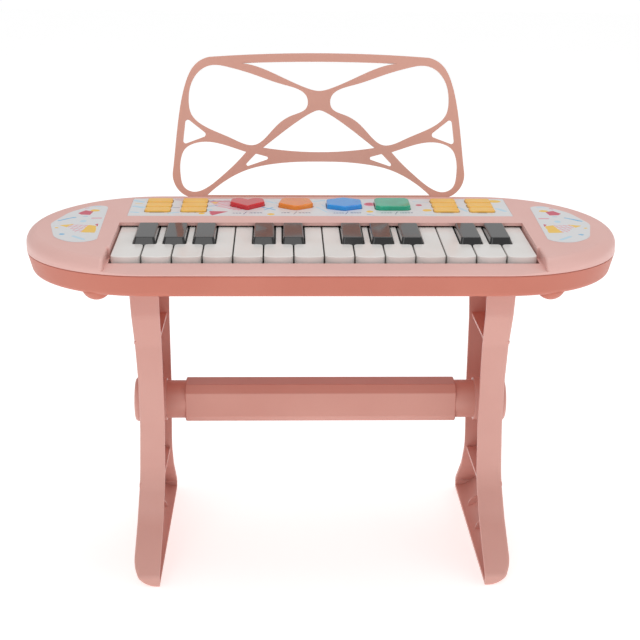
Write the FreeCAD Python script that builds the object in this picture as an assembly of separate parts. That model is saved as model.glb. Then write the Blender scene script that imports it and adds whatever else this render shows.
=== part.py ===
import FreeCAD, Part
import math
import os

# Toddler's electronic keyboard: a stadium-shaped two-shell case with 24 keys, four shaped
# pads and twelve slim buttons, a pierced music rest, and a stand of two channel legs tied
# by a crossbar.  Millimetres, +X to the player's right, +Y to the rear, +Z up.

os.makedirs("parts", exist_ok=True)

# ---- case ----
CASE_LENGTH = 457.0
CASE_DEPTH = 198.0
CASE_BOTTOM_Z = 230.0
SEAM_Z = 247.0              # upper and lower shells part here
DECK_Z = 262.1              # height of the deck plane at the middle of the case
DECK_SLOPE = 2.75           # degrees, rising to the rear
EDGE_ROLL = 8.6             # radius of the deck's outer edge
WALL = 2.5
LOWER_TAPER = 4.5           # the lower shell draws in by this at its bottom
LOWER_EDGE = 5.0            # radius of its bottom edge
RIB = 2.2                   # inner ribs and socket walls

# ---- clearances ----
FIT = 0.05                  # radial, pin in bore
SLIDE_FIT = 0.3             # each side, parts that slide or lift out
KEY_GAP = 1.0               # between neighbouring white keys
BLACK_GAP = 0.4             # each side of a black key
HOLE_GAP = 0.45             # round each pad and button
REST_GAP = 0.3              # between the case and the legs under it

# ---- keys, placed on the deck: S to the rear, H above the deck plane ----
WHITE_COUNT = 14
KEY_PITCH = 22.5
BLACK_AFTER = (1, 2, 3, 5, 6, 8, 9, 10, 12, 13)
WELL_HALF = 158.3
WELL_FRONT = -74.2
WELL_REAR = 8.0
KEY_FRONT = -73.4
KEY_TOP = -3.9
KEY_DEPTH = 9.0
KEY_PLATE = 2.3
KEY_SKIRT = 1.8
NOTCH_FRONT = -38.8
KEY_TAIL = 10.0             # plates end here, under the rear rail
BLACK_FRONT = -38.0
BLACK_TOP = 0.4
BLACK_HALF = 8.5
BLACK_DRAFT = 1.1
BLACK_SLANT = 3.6           # the front face leans back by this
ROD_S = 28.0
ROD_H = -12.0
ROD_R = 1.5
HUB_R = 3.4
WHITE_ARM = 4.5
BLACK_ARM = 12.0
WHITE_PLUNGER_S = -52.0
BLACK_PLUNGER_S = -22.0
PLUNGER_R = 2.5
PLUNGER_END = -15.6

# ---- front rail ----
RAIL_HALF = 160.0
RAIL_DROP = 8.3

# ---- control panel, pads and buttons ----
PANEL_HALF = 154.5
PANEL_FRONT = 28.0
PANEL_REAR = 83.5
PANEL_SHEET = 0.8
PAD_PITCH = 39.6
PAD_S = 60.0
PAD_WIDTH = 28.6
PAD_HEIGHT = 3.6
BUTTON_GROUPS = (-131.5, -102.5, 102.5, 131.5)
BUTTON_ROWS = (45.2, 59.4, 73.6)
BUTTON_WIDTH = 20.6
BUTTON_DEPTH = 12.0
BUTTON_HEIGHT = 1.6
FLANGE_RIM = 0.85
FLANGE_SHEET = 1.2
FLANGE_DROP = 0.3           # running gap between the flange and the deck above it
STEM_END = -6.3

# ---- boards and rubber contact mats ----
BOARD_SHEET = 1.6
MAT_SHEET = 0.8
KEY_BOARD_TOP = -20.9
KEY_BOARD_S = (-58.0, 12.0)
PANEL_BOARD_TOP = -9.6
PANEL_BOARD_S = (33.6, 78.8)
BOARD_HALF = 150.0
DOME_GAP = 0.25

# ---- music rest, drawn in its own plane: X across, T up the plate ----
REST_Y = 92.0
REST_Z = 265.0
REST_TILT = 10.5
REST_SHEET = 3.0
REST_TAB = 9.0
REST_TAB_HALF = 98.0
REST_TOP = 120.3            # height of the plate above its seat
REST_HALF = 122.6           # half its greatest width
REST_FLAT = 104.0           # the straight of its lower edge ends here, on the drawing
SLOT_WALL = 2.2

# ---- stand ----
LEG_INNER = 123.0
LEG_WAIST = 19.5            # thickness across, at the crossbar
LEG_TOP_THICK = 22.6
LEG_FOOT_THICK = 20.6
LEG_WALL = 3.0
LEG_HALF_TOP = 50.0
LEG_HALF_WAIST = 38.0
LEG_HALF_FOOT = 96.5
LEG_CORNER = 18.0           # radius of the foot's outer edge, seen from the front
LEG_EDGE = 2.5              # radius of its front and rear edges
TENON_HEIGHT = 4.5
TENON_HALF = 30.0
TENON_THICK = 11.0
BAR_Z = 118.0
BAR_Y = 2.0
BAR_HALF_LENGTH = 108.6
BAR_HALF = 15.5
BAR_FLAT = 9.6              # half height of the flat front panel
BAR_WALL = 2.5
BAR_SCREWS = (-75.0, 0.0, 75.0)
NECK_R = 15.25
SOCKET_WALL = 1.7
BOSS_R = 17.8
BOSS_PROUD = 6.5
GUSSET_Y = (-47.5, 0.0, 47.5)
GUSSET_HEIGHT = 12.0

# ---- power and sound ----
CELL_R = 7.25
CELL_LENGTH = 50.5
CELL_ROWS = (56.0, 71.2)
BAY_Z = 250.1               # roof of the battery bay
COVER_SHEET = 2.0
SPEAKER_X = -190.0
SPEAKER_R = 25.0
SPEAKER_HEIGHT = 13.0

# ---- dome feet moulded under the case, and screws ----
FOOT_X = 167.0
FOOT_Y = 75.0
FOOT_R = 10.3
FOOT_DROP = 6.6
FRONT_SCREWS = (-157.0, -87.0, 0.0, 87.0, 157.0)
REAR_SCREWS = (-150.0, -87.0, 87.0, 150.0)
SCREW_Y = 84.0
WELL_R = 3.6
SCREW_HEAD_R = 2.9
SCREW_HEAD = 2.0
SCREW_R = 1.3
BOSS_TOP_Z = 242.5
LEDGE_Z = 238.5

# ---- values worked out from the ones above ----
TILT_SIN = math.sin(math.radians(REST_TILT))
TILT_COS = math.cos(math.radians(REST_TILT))
REST_REAR = REST_Y + REST_TOP * TILT_SIN + REST_SHEET / 2 * TILT_COS
CASE_Y = -(REST_REAR - CASE_DEPTH / 2) / 2     # puts the origin under the middle of the whole
WHITE_HALF = (KEY_PITCH - KEY_GAP) / 2
NOTCH_HALF = BLACK_HALF + BLACK_GAP
LEG_TOP_Z = CASE_BOTTOM_Z - REST_GAP
TENON_INNER = LEG_INNER + 4.0
BAR_END = LEG_INNER + LEG_WAIST - LEG_WALL - 0.2
COVER_SCREW_Y = CELL_ROWS[0] - CELL_R - 3.5
FAR = 400.0
STEEP = math.radians(DECK_SLOPE)

V = FreeCAD.Vector
X_AXIS = V(1, 0, 0)
Y_AXIS = V(0, 1, 0)
Z_AXIS = V(0, 0, 1)


# ---- drawing helpers ----
def box(x0, x1, y0, y1, z0, z1):
    return Part.makeBox(x1 - x0, y1 - y0, z1 - z0, V(x0, y0, z0))


def rod(radius, start, length, axis=Z_AXIS):
    return Part.makeCylinder(radius, length, V(*start), axis)


def flat(x, y):
    return V(x, y, 0)


def rounded_wire(points):
    """Closed outline through (x, y, radius) corners, as straight runs and tangent arcs."""
    runs = []
    count = len(points)
    for index in range(count):
        before = flat(*points[index - 1][:2])
        corner = flat(*points[index][:2])
        after = flat(*points[(index + 1) % count][:2])
        radius = points[index][2]
        if radius == 0:
            runs.append((corner, None, corner))
            continue
        back = (before - corner).normalize()
        ahead = (after - corner).normalize()
        half = back.getAngle(ahead) / 2
        middle = (back + ahead).normalize()
        reach = radius / math.tan(half)
        bulge = corner + middle * (radius / math.sin(half) - radius)
        runs.append((corner + back * reach, bulge, corner + ahead * reach))
    edges = []
    for index in range(count):
        start, bulge, end = runs[index]
        if bulge is not None:
            edges.append(Part.Arc(start, bulge, end).toShape())
        following = runs[(index + 1) % count][0]
        if end.distanceToPoint(following) > 1e-6:
            edges.append(Part.makeLine(end, following))
    return Part.Wire(edges)


def spline_edge(points):
    curve = Part.BSplineCurve()
    curve.interpolate([flat(*point) for point in points])
    return curve.toShape()


def smooth_wire(points):
    """Closed smooth outline through the points."""
    curve = Part.BSplineCurve()
    curve.interpolate([flat(*point) for point in points], PeriodicFlag=True)
    return Part.Wire([curve.toShape()])


def slab(wire, low, high):
    face = Part.Face(wire)
    face.translate(V(0, 0, low))
    return face.extrude(V(0, 0, high - low))


def block(x0, x1, y0, y1, radius):
    return rounded_wire([(x0, y0, radius), (x1, y0, radius), (x1, y1, radius), (x0, y1, radius)])


def lying_along_x(shape, x0):
    """Turns a slab drawn in (Y, Z) and raised along its own third axis to lie along X."""
    turned = shape.copy()
    turned.rotate(V(0, 0, 0), X_AXIS, 90)
    turned.rotate(V(0, 0, 0), Z_AXIS, 90)
    turned.translate(V(x0, 0, 0))
    return turned


def lying_along_y(shape, y0):
    """Turns a slab drawn in (X, Z) and raised along its own third axis to lie along -Y."""
    turned = shape.copy()
    turned.rotate(V(0, 0, 0), X_AXIS, 90)
    turned.translate(V(0, y0, 0))
    return turned


def on_deck(shape):
    placed = shape.copy()
    placed.rotate(V(0, 0, 0), X_AXIS, DECK_SLOPE)
    placed.translate(V(0, 0, DECK_Z))
    return placed


def on_rest(shape):
    """From the rest's drawing plane, plate centred on zero thickness, to its tilted place."""
    placed = shape.copy()
    placed.rotate(V(0, 0, 0), X_AXIS, 90 - REST_TILT)
    placed.translate(V(0, REST_Y, REST_Z))
    return placed


def deck_height(point):
    return (point.z - DECK_Z) * math.cos(STEEP) - point.y * math.sin(STEEP)


def deck_z(y, height=0.0):
    return DECK_Z + y * math.tan(STEEP) + height / math.cos(STEEP)


def edges_where(shape, test):
    return [edge for edge in shape.Edges if all(test(vertex.Point) for vertex in edge.Vertexes)]


def mirrored(shape):
    return shape.mirror(V(0, 0, 0), X_AXIS)


def export(name, shape):
    placed = shape.copy()
    placed.translate(V(0, CASE_Y, 0))
    placed.exportStep("parts/" + name + ".step")


def export_group(name, solids):
    export(name, Part.Compound(solids))


# ---- stadium shells ----
def stadium_wire(length, depth, z):
    radius = depth / 2
    straight = length / 2 - radius
    front = Part.makeLine(V(-straight, -radius, z), V(straight, -radius, z))
    right = Part.Arc(V(straight, -radius, z), V(straight + radius, 0, z), V(straight, radius, z))
    rear = Part.makeLine(V(straight, radius, z), V(-straight, radius, z))
    left = Part.Arc(V(-straight, radius, z), V(-straight - radius, 0, z), V(-straight, -radius, z))
    return Part.Wire([front, right.toShape(), rear, left.toShape()])


def stadium(inset, low, height):
    wire = stadium_wire(CASE_LENGTH - 2 * inset, CASE_DEPTH - 2 * inset, low)
    return Part.Face(wire).extrude(V(0, 0, height))


def under_deck(inset, drop, radius, low):
    """A stadium block whose sloping top lies the given drop under the deck, edges rolled."""
    tall = stadium(inset, low, 60.0)
    top = on_deck(box(-FAR, FAR, -FAR, FAR, -drop, 80))
    body = tall.cut(top)
    rim = edges_where(body, lambda p: abs(deck_height(p) + drop) < 1e-4)
    return body.makeFillet(radius, rim)


def tapered(inset, low):
    """The lower shell's outer or inner form, narrower at its bottom."""
    share = (SEAM_Z - low) / (SEAM_Z - CASE_BOTTOM_Z)
    narrow = inset + LOWER_TAPER * share
    bottom = stadium_wire(CASE_LENGTH - 2 * narrow, CASE_DEPTH - 2 * narrow, low)
    top = stadium_wire(CASE_LENGTH - 2 * inset, CASE_DEPTH - 2 * inset, SEAM_Z)
    return Part.makeLoft([bottom, top], True, True)


# ---- outlines shared by the pads, their holes and the panel ----
def heart_wire(grow):
    half = PAD_WIDTH / 2 + grow
    lobe = half * 0.62
    return rounded_wire([
        (0, -half, 2.5), (half, -half * 0.02, half * 0.34), (half * 0.93, half * 0.82, half * 0.36),
        (lobe * 0.62, half * 0.98, half * 0.36), (0, half * 0.62, 1.2),
        (-lobe * 0.62, half * 0.98, half * 0.36), (-half * 0.93, half * 0.82, half * 0.36),
        (-half, -half * 0.02, half * 0.34)])


def pentagon_wire(grow):
    half = PAD_WIDTH / 2 + grow
    return rounded_wire([
        (0, -half * 1.02, half * 0.5), (half * 1.02, -half * 0.32, half * 0.3),
        (half * 0.8, half * 0.96, half * 0.3), (-half * 0.8, half * 0.96, half * 0.3),
        (-half * 1.02, -half * 0.32, half * 0.3)])


def hexagon_wire(grow):
    half = PAD_WIDTH / 2 + grow
    reach = half * 1.1
    side = reach * 0.56
    return rounded_wire([
        (0, -reach, 3.0), (half, -side, 3.0), (half, side, 3.0),
        (0, reach, 3.0), (-half, side, 3.0), (-half, -side, 3.0)])


def square_wire(grow):
    half = PAD_WIDTH / 2 + grow
    return block(-half, half, -half, half, 5.0)


def bar_wire(grow):
    across = BUTTON_WIDTH / 2 + grow
    along = BUTTON_DEPTH / 2 + grow
    return block(-across, across, -along, along, 2.6 + grow)


PADS = (
    ("pad_heart", heart_wire, -1.5 * PAD_PITCH),
    ("pad_pentagon", pentagon_wire, -0.5 * PAD_PITCH),
    ("pad_hexagon", hexagon_wire, 0.5 * PAD_PITCH),
    ("pad_square", square_wire, 1.5 * PAD_PITCH),
)
BUTTONS = [
    ("button_%d_%d" % (group + 1, row + 1), x, s)
    for group, x in enumerate(BUTTON_GROUPS)
    for row, s in enumerate(BUTTON_ROWS)
]


def moved(shape, x, y):
    shifted = shape.copy()
    shifted.translate(V(x, y, 0))
    return shifted


def control_holes(grow, low, high):
    """Holes for every pad and button, in deck coordinates."""
    holes = []
    for name, outline, x in PADS:
        holes.append(moved(slab(outline(grow), low, high), x, PAD_S))
    for name, x, s in BUTTONS:
        holes.append(moved(slab(bar_wire(grow), low, high), x, s))
    return holes


# ---- screw places, shared by both shells ----
SCREW_PLACES = [(x, -SCREW_Y) for x in FRONT_SCREWS] + [(x, SCREW_Y) for x in REAR_SCREWS]
BRACKET_X = (-3 * KEY_PITCH, 0.0, 4 * KEY_PITCH)
BOARD_POSTS = [(x, s) for x in (-142.0, -67.5, 0.0, 90.0, 142.0) for s in (-54.0, 8.5)]
PANEL_POSTS = [
    (-146.0, 57.0), (-87.0, 57.0), (-39.6, 40.0), (39.6, 40.0), (87.0, 57.0), (146.0, 57.0)]


def rod_line(radius, x0, x1):
    return rod(radius, (x0, ROD_S, ROD_H), x1 - x0, X_AXIS)


def drawn(points):
    """Points of the rest's drawing, made for a 241 by 122 plate, at its set size."""
    return [(x * REST_HALF / 120.5, t * REST_TOP / 122.0) for x, t in points]


def drawn_arc(points):
    return Part.Arc(*[flat(*point) for point in drawn(points)]).toShape()


def drawn_line(points):
    return Part.makeLine(*[flat(*point) for point in drawn(points)])


def rest_outline():
    side = [(120.5, 21), (118, 44), (115, 70), (110, 95), (103, 110.5), (90, 118.6)]
    right = spline_edge(drawn(side))
    left = spline_edge(drawn([(-x, t) for x, t in side]))
    top = drawn_arc([(90, 118.6), (0, 122), (-90, 118.6)])
    low_right = drawn_arc([(REST_FLAT, 0), (115.6, 6.6), (120.5, 21)])
    low_left = drawn_arc([(-REST_FLAT, 0), (-115.6, 6.6), (-120.5, 21)])
    base = drawn_line([(-REST_FLAT, 0), (REST_FLAT, 0)])
    return Part.Wire(Part.__sortEdges__([right, top, left, low_left, base, low_right]))


def upper_shell():
    outer = under_deck(0, 0, EDGE_ROLL, SEAM_Z)
    rail_line = [(-60, deck_z(-60, -RAIL_DROP)), (-86, deck_z(-86, -RAIL_DROP))]
    roll_end = -CASE_DEPTH / 2 - 0.2
    roll = Part.Arc(flat(*rail_line[1]), flat(-94.6, deck_z(-94.6, -RAIL_DROP) - 0.42),
                    flat(roll_end, SEAM_Z + 0.8)).toShape()
    rail_cut = Part.Wire([
        Part.makeLine(flat(*rail_line[0]), flat(*rail_line[1])), roll,
        Part.makeLine(flat(roll_end, SEAM_Z + 0.8), flat(-FAR, SEAM_Z + 0.8)),
        Part.makeLine(flat(-FAR, SEAM_Z + 0.8), flat(-FAR, 300)),
        Part.makeLine(flat(-FAR, 300), flat(-60, 300)),
        Part.makeLine(flat(-60, 300), flat(*rail_line[0]))])
    outer = outer.cut(lying_along_x(slab(rail_cut, 0, 2 * RAIL_HALF), -RAIL_HALF))
    step = edges_where(outer, lambda p: abs(abs(p.x) - RAIL_HALF) < 1e-4 and p.y > -97
                       and deck_height(p) > -EDGE_ROLL * 0.6)
    outer = outer.makeFillet(2.0, [edge for edge in step if edge.Length > 5])

    hollow = under_deck(WALL, WALL, EDGE_ROLL - WALL, SEAM_Z - 1)
    kept = [box(-RAIL_HALF - WALL, RAIL_HALF + WALL, -FAR, WELL_FRONT, SEAM_Z - 2, 300)]
    for side in (-1, 1):
        near, far = sorted((side * WELL_HALF, side * (WELL_HALF + RIB)))
        kept.append(on_deck(box(near, far, WELL_FRONT - 3, ROD_S + 7, -40, 5)))
    for x in BRACKET_X:
        kept.append(on_deck(box(x - RIB, x + RIB, ROD_S - 5, ROD_S + 5, ROD_H - 4, 5)))
    for x, y in SCREW_PLACES:
        kept.append(rod(4.2, (x, y, SEAM_Z - 2), 30))
    for x, s in PANEL_POSTS:
        kept.append(on_deck(rod(2.6, (x, s, PANEL_BOARD_TOP), 20)))
    pocket_half = REST_TAB_HALF + SLIDE_FIT + SLOT_WALL
    thick = REST_SHEET / 2 + SLIDE_FIT + SLOT_WALL
    pocket_floor = -REST_TAB - SLIDE_FIT - SLOT_WALL
    kept.append(on_rest(box(-pocket_half, pocket_half, pocket_floor, 8, -thick - 4, thick)))
    hollow = hollow.cut(kept)
    shell = outer.cut(hollow)

    for x, y in SCREW_PLACES:
        if abs(x) > RAIL_HALF - 5 or y > 0:
            shell = shell.fuse(rod(4.2, (x, y, BOSS_TOP_Z + 0.1), SEAM_Z - BOSS_TOP_Z + 2))
        else:
            shell = shell.fuse(rod(4.2, (x, y, BOSS_TOP_Z + 0.1), SEAM_Z - BOSS_TOP_Z + 1))
    shell = shell.cut(on_deck(box(-WELL_HALF, WELL_HALF, WELL_FRONT, WELL_REAR, -60, 20)))
    shell = shell.cut(on_deck(box(-PANEL_HALF, PANEL_HALF, PANEL_FRONT, PANEL_REAR, -PANEL_SHEET, 10)))
    shell = shell.cut([on_deck(hole) for hole in control_holes(HOLE_GAP, -WALL - 1, 5)])
    shell = shell.cut(on_deck(rod_line(ROD_R + FIT, -WELL_HALF - 2 * RIB, WELL_HALF + 2 * RIB)))
    slot_half = REST_TAB_HALF + SLIDE_FIT
    slot_thick = REST_SHEET / 2 + SLIDE_FIT
    sill_half = (REST_FLAT + 6.5) * REST_HALF / 120.5
    shell = shell.cut(on_rest(box(-sill_half, sill_half, -SLIDE_FIT, 20, -slot_thick, slot_thick)))
    slot = box(-slot_half, slot_half, -REST_TAB - SLIDE_FIT, 20, -slot_thick, slot_thick)
    shell = shell.cut(on_rest(slot))
    pilot_depth = SEAM_Z + 0.6 - BOSS_TOP_Z
    pilots = [rod(SCREW_R + FIT, (x, y, BOSS_TOP_Z), pilot_depth) for x, y in SCREW_PLACES]
    pilots += [on_deck(rod(1.0, (x, s, PANEL_BOARD_TOP), 5)) for x, s in PANEL_POSTS]
    return shell.cut(pilots).removeSplitter()


def lower_shell():
    outer = tapered(0, CASE_BOTTOM_Z)
    rim = edges_where(outer, lambda p: abs(p.z - CASE_BOTTOM_Z) < 1e-4)
    outer = outer.makeFillet(LOWER_EDGE, rim)
    floor_z = CASE_BOTTOM_Z + WALL
    shell = outer.cut(tapered(WALL, floor_z))
    limits = tapered(WALL / 2, CASE_BOTTOM_Z + 1)

    added = []
    for x, y in SCREW_PLACES:
        post = rod(5.4, (x, y, CASE_BOTTOM_Z + 1), BOSS_TOP_Z - CASE_BOTTOM_Z - 1)
        added.append(post.common(limits))
    for x, s in BOARD_POSTS:
        post = on_deck(rod(3.0, (x, s, KEY_BOARD_TOP - BOARD_SHEET - 12), 12))
        added.append(post.common(limits))
    added.append(rod(SPEAKER_R + 0.3 + RIB, (SPEAKER_X, 0, floor_z - 1), 6.5))
    for side in (-1, 1):
        x0, x1 = sorted((side * TENON_INNER, side * (TENON_INNER + TENON_THICK)))
        reach = SLIDE_FIT + RIB
        added.append(box(x0 - reach, x1 + reach, -TENON_HALF - reach, TENON_HALF + reach,
                         floor_z - 1, CASE_BOTTOM_Z + TENON_HEIGHT + SLIDE_FIT + 1.5))
    bay = bay_box(WALL)
    added.append(box(*bay, floor_z - 1, BAY_Z))
    added.append(rod(5.0, (0, bay[2] - 2.4, floor_z - 1), 7))
    shell = shell.fuse(added)

    feet = [foot_dome(x, y) for x in (-FOOT_X, FOOT_X) for y in (-FOOT_Y, FOOT_Y)]
    shell = shell.fuse(feet)

    cuts = []
    for x, y in SCREW_PLACES:
        cuts.append(rod(WELL_R, (x, y, CASE_BOTTOM_Z - 1), LEDGE_Z - CASE_BOTTOM_Z + 1))
        cuts.append(rod(SCREW_R + 0.3, (x, y, CASE_BOTTOM_Z), BOSS_TOP_Z - CASE_BOTTOM_Z + 1))
    for side in (-1, 1):
        x0, x1 = sorted((side * TENON_INNER, side * (TENON_INNER + TENON_THICK)))
        reach = TENON_HALF + SLIDE_FIT
        cuts.append(box(x0 - SLIDE_FIT, x1 + SLIDE_FIT, -reach, reach,
                        CASE_BOTTOM_Z - 1, CASE_BOTTOM_Z + TENON_HEIGHT + SLIDE_FIT))
    cuts.append(box(*bay_box(0), CASE_BOTTOM_Z - 1, BAY_Z - WALL))
    rebate = bay_box(2.0)
    cuts.append(box(*rebate, CASE_BOTTOM_Z - 1, CASE_BOTTOM_Z + COVER_SHEET))
    cuts.append(rod(5.0, (0, rebate[2], CASE_BOTTOM_Z - 1), COVER_SHEET + 1))
    cuts.append(rod(SCREW_R + FIT, (0, COVER_SCREW_Y, CASE_BOTTOM_Z), 7))
    cuts.append(rod(SPEAKER_R + 0.3, (SPEAKER_X, 0, floor_z), 20))
    for index in range(-4, 5):
        half = math.sqrt(21.0 ** 2 - (4.6 * index) ** 2)
        cuts.append(slab(block(-half, half, -1.2, 1.2, 1.15), CASE_BOTTOM_Z - 1, floor_z + 1)
                    .translated(V(SPEAKER_X, 4.6 * index, 0)))
    groove = tapered(0.0, CASE_BOTTOM_Z).common(box(-FAR, FAR, -FAR, FAR, SEAM_Z - 0.7, SEAM_Z))
    cuts.append(groove.cut(tapered(0.5, CASE_BOTTOM_Z)))
    return shell.cut(cuts).removeSplitter()


def bay_box(grow):
    half = CELL_LENGTH + 2.0 + grow
    front = CELL_ROWS[0] - CELL_R - 0.5 - grow
    rear = CELL_ROWS[1] + CELL_R + 0.5 + grow
    return (-half, half, front, rear)


def foot_dome(x, y):
    height = FOOT_DROP
    radius = (FOOT_R ** 2 + height ** 2) / (2 * height)
    ball = Part.makeSphere(radius, V(x, y, CASE_BOTTOM_Z - height + radius))
    column = rod(FOOT_R, (x, y, CASE_BOTTOM_Z - height - 1), height + 1 + WALL)
    below = box(-FAR, FAR, -FAR, FAR, CASE_BOTTOM_Z - height - 1, CASE_BOTTOM_Z + 0.01)
    stub = rod(FOOT_R, (x, y, CASE_BOTTOM_Z), WALL)
    return ball.common(below).common(column).fuse(stub).removeSplitter()


def white_key(number):
    centre = (number - (WHITE_COUNT + 1) / 2) * KEY_PITCH
    left_notch = number - 1 in BLACK_AFTER
    right_notch = number in BLACK_AFTER
    inner = KEY_PITCH / 2 - NOTCH_HALF
    outline = [(0, KEY_FRONT - 0.5, 26.0), (WHITE_HALF, KEY_FRONT + 2.6, 4.0)]
    if right_notch:
        outline += [(WHITE_HALF, NOTCH_FRONT, 3.2), (inner, NOTCH_FRONT, 1.4), (inner, KEY_TAIL, 0)]
    else:
        outline += [(WHITE_HALF, KEY_TAIL, 0)]
    if left_notch:
        outline += [
            (-inner, KEY_TAIL, 0), (-inner, NOTCH_FRONT, 1.4), (-WHITE_HALF, NOTCH_FRONT, 3.2)]
    else:
        outline += [(-WHITE_HALF, KEY_TAIL, 0)]
    outline += [(-WHITE_HALF, KEY_FRONT + 2.6, 4.0)]
    bottom = KEY_TOP - KEY_DEPTH
    key = slab(rounded_wire(outline), bottom, KEY_TOP)
    rim = edges_where(key, lambda p: abs(p.z - KEY_TOP) < 1e-6 and p.y < KEY_TAIL - 0.1)
    key = key.makeFillet(0.7, rim)

    ceiling = KEY_TOP - KEY_PLATE
    inside = WHITE_HALF - KEY_SKIRT
    pocket = block(-inside, inside, KEY_FRONT + 4.2, NOTCH_FRONT - KEY_SKIRT, 2.2)
    key = key.cut(slab(pocket, bottom - 1, ceiling))
    if left_notch != right_notch:
        x0 = -inner + KEY_SKIRT if left_notch else -inside
        x1 = inner - KEY_SKIRT if right_notch else inside
        pocket = block(x0, x1, NOTCH_FRONT + 1.0, KEY_TAIL - KEY_SKIRT, 1.5)
        key = key.cut(slab(pocket, bottom - 1, ceiling))
    arm = box(-WHITE_ARM / 2, WHITE_ARM / 2, NOTCH_FRONT + 2, ROD_S, bottom - 0.5, KEY_TOP - 2.1)
    hub = rod_line(HUB_R, -WHITE_ARM / 2, WHITE_ARM / 2)
    plunger = rod(PLUNGER_R, (0, WHITE_PLUNGER_S, PLUNGER_END), ceiling - PLUNGER_END + 0.5)
    web = box(-0.8, 0.8, WHITE_PLUNGER_S - 8, WHITE_PLUNGER_S + 8, bottom + 1.5, ceiling + 0.5)
    key = key.fuse([arm, hub, plunger, web])
    key = key.cut(rod_line(ROD_R + FIT, -WHITE_ARM, WHITE_ARM)).removeSplitter()
    return on_deck(moved(key, centre, 0))


def black_key(number):
    centre = (BLACK_AFTER[number - 1] - WHITE_COUNT / 2) * KEY_PITCH
    rear = WELL_REAR - 0.7
    bottom = KEY_TOP - KEY_DEPTH
    base_h = KEY_TOP - 1.2
    top_half = BLACK_HALF - BLACK_DRAFT
    base = block(-BLACK_HALF, BLACK_HALF, BLACK_FRONT, rear, 1.8)
    base.translate(V(0, 0, base_h))
    top = block(-top_half, top_half, BLACK_FRONT + BLACK_SLANT, rear, 1.8)
    top.translate(V(0, 0, BLACK_TOP))
    cap = Part.makeLoft([base, top], True, True)
    rim = edges_where(cap, lambda p: abs(p.z - BLACK_TOP) < 1e-6)
    cap = cap.makeFillet(1.1, rim)
    body = slab(block(-BLACK_HALF, BLACK_HALF, BLACK_FRONT, rear, 1.8), bottom, base_h)
    pocket = slab(block(-BLACK_HALF + KEY_SKIRT, BLACK_HALF - KEY_SKIRT, BLACK_FRONT + KEY_SKIRT,
                        rear - KEY_SKIRT, 1.5), bottom - 1, base_h + 1.6)
    key = cap.fuse(body).cut(pocket)
    arm = box(-BLACK_ARM / 2, BLACK_ARM / 2, rear - KEY_SKIRT, ROD_S, bottom - 0.5, KEY_TOP - 2.1)
    hub = rod_line(HUB_R, -BLACK_ARM / 2, BLACK_ARM / 2)
    plunger = rod(PLUNGER_R, (0, BLACK_PLUNGER_S, PLUNGER_END), base_h + 1.8 - PLUNGER_END)
    web = box(-BLACK_HALF + 1, BLACK_HALF - 1, BLACK_PLUNGER_S - 0.8, BLACK_PLUNGER_S + 0.8,
              bottom + 1.5, base_h + 1.8)
    key = key.fuse([arm, hub, plunger, web])
    key = key.cut(rod_line(ROD_R + FIT, -BLACK_ARM, BLACK_ARM)).removeSplitter()
    return on_deck(moved(key, centre, 0))


def plunger_cap(outline, height, edge, stem):
    """A pad or button: bevelled cap through the deck, retaining flange, and its stem."""
    flange_top = -WALL - FLANGE_DROP
    cap = slab(outline(0), flange_top - 0.2, height)
    rim = edges_where(cap, lambda p: abs(p.z - height) < 1e-6)
    cap = cap.makeFillet(edge, rim)
    flange = slab(outline(FLANGE_RIM), flange_top - FLANGE_SHEET, flange_top)
    return cap.fuse([flange, stem]).removeSplitter()


def pad(outline, x):
    stem = rod(4.0, (0, 0, STEM_END), -STEM_END - WALL)
    return on_deck(moved(plunger_cap(outline, PAD_HEIGHT, 1.3, stem), x, PAD_S))


def button(x, s):
    stem = box(-4, 4, -1.6, 1.6, STEM_END, -WALL)
    return on_deck(moved(plunger_cap(bar_wire, BUTTON_HEIGHT, 0.9, stem), x, s))


def graphic_panel():
    edge = SLIDE_FIT / 2
    half = PANEL_HALF - edge
    sheet = slab(block(-half, half, PANEL_FRONT + edge, PANEL_REAR - edge, 1.0), -PANEL_SHEET, 0)
    return on_deck(sheet.cut(control_holes(HOLE_GAP, -2, 2)))


def pod_sticker(side):
    outline = [
        (170.0, -41, 9), (172.5, 60.5, 7), (186, 58, 11), (201.5, 38, 40), (211.5, 4, 22),
        (203, -36, 26), (184, -53, 15)]
    sheet = slab(rounded_wire(outline), 0, 0.3)
    return on_deck(mirrored(sheet) if side < 0 else sheet)


# ---- music rest ----
def both_sides(points):
    return [points, [(-x, t) for x, t in points]]


def corner_wires(points, radius):
    return [rounded_wire([(x, t, radius) for x, t in drawn(loop)]) for loop in both_sides(points)]


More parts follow.
